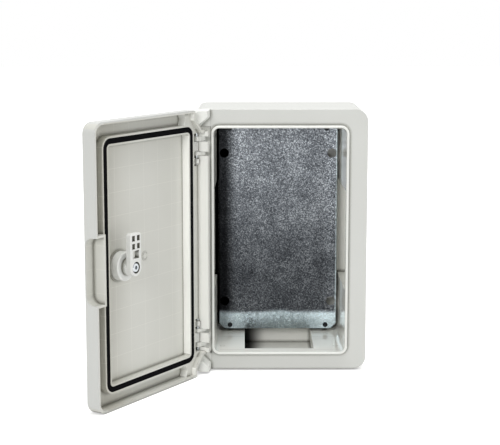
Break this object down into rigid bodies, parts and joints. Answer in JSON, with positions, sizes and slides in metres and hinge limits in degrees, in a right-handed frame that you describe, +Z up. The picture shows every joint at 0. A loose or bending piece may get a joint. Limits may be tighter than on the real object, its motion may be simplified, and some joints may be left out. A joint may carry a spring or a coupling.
{
  "type": "electrical enclosure",
  "caption": "Wall-mounted plastic enclosure with a hinged door, black door seal, quarter-turn cam lock and galvanised mounting plate, door open.",
  "frame": {"origin": "centre of the case's back face, on the wall", "axes": "+Y into the wall, -Y towards the front, +Z up the long side, +X along the wall away from the hinges"},
  "size_m": [0.3021, 0.2908, 0.303],
  "materials": {
    "case_plastic": "moulded satin, light grey",
    "hinge_plastic": "moulded satin, pale grey",
    "lock_plastic": "moulded satin, pale grey",
    "seal_foam": "matte black foam",
    "galvanised_steel": "galvanised, fine spangle",
    "dark_steel": "black oxide",
    "bright_steel": "zinc plated",
    "brass": "turned"
  },
  "bodies": {
    "base": {"body": "case_plastic", "mounting_plate": "galvanised_steel", "plate_screws": "dark_steel", "plate_inserts": "brass", "hinge_bracket_top": "hinge_plastic", "hinge_bracket_bottom": "hinge_plastic", "hinge_screws": "bright_steel"},
    "door": {"door": "case_plastic", "door_seal": "seal_foam", "hinge_leaf_top": "hinge_plastic", "hinge_leaf_bottom": "hinge_plastic", "hinge_pin_top": "bright_steel", "hinge_pin_bottom": "bright_steel", "lock_housing": "lock_plastic", "lock_gasket": "seal_foam", "lock_drum": "lock_plastic"},
    "latch": {"lock_spindle": "bright_steel", "cam_lever": "lock_plastic", "cam_washer": "bright_steel", "cam_screw": "bright_steel"}
  },
  "joints": [
    {"name": "door_hinge", "type": "hinge", "parent": "base", "child": "door", "pos_m": [-0.0937, -0.1236, 0], "axis": [0, 0, 1], "range_deg": [-37, 123]},
    {"name": "latch_turn", "type": "hinge", "parent": "door", "child": "latch", "pos_m": [-0.16062, -0.24612, -0.003], "axis": [0.8387, -0.5446, 0], "range_deg": [0, 90]}
  ]
}
